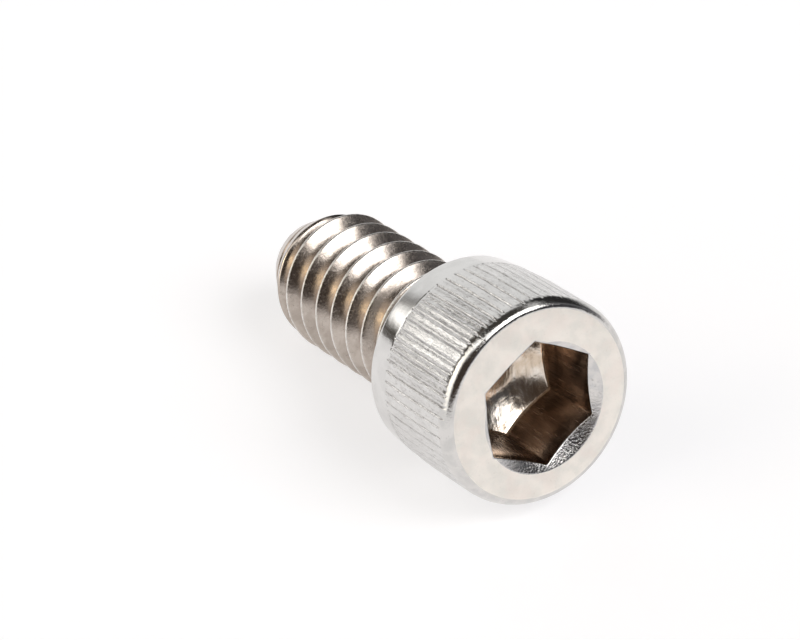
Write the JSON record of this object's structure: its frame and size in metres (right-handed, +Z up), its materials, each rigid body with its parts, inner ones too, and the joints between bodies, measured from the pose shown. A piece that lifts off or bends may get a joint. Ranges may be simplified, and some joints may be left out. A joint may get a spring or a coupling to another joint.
{
  "type": "hex socket cap screw",
  "caption": "Short socket head cap screw with a knurled round head, a hexagon socket in its flat face and a coarse right-hand thread up to the head.",
  "frame": {"origin": "centre of the bearing face under the head, on the screw's axis", "axes": "+Z up with the screw lying on its side; the head's face looks towards -Y and is tipped up by the lie, the tip points to +Y"},
  "size_m": [0.0094, 0.0194, 0.0102],
  "materials": {
    "steel": "plain bright stainless steel, satin face and smooth knurl"
  },
  "bodies": {
    "root": {"cap_screw": "steel"}
  },
  "joints": []
}
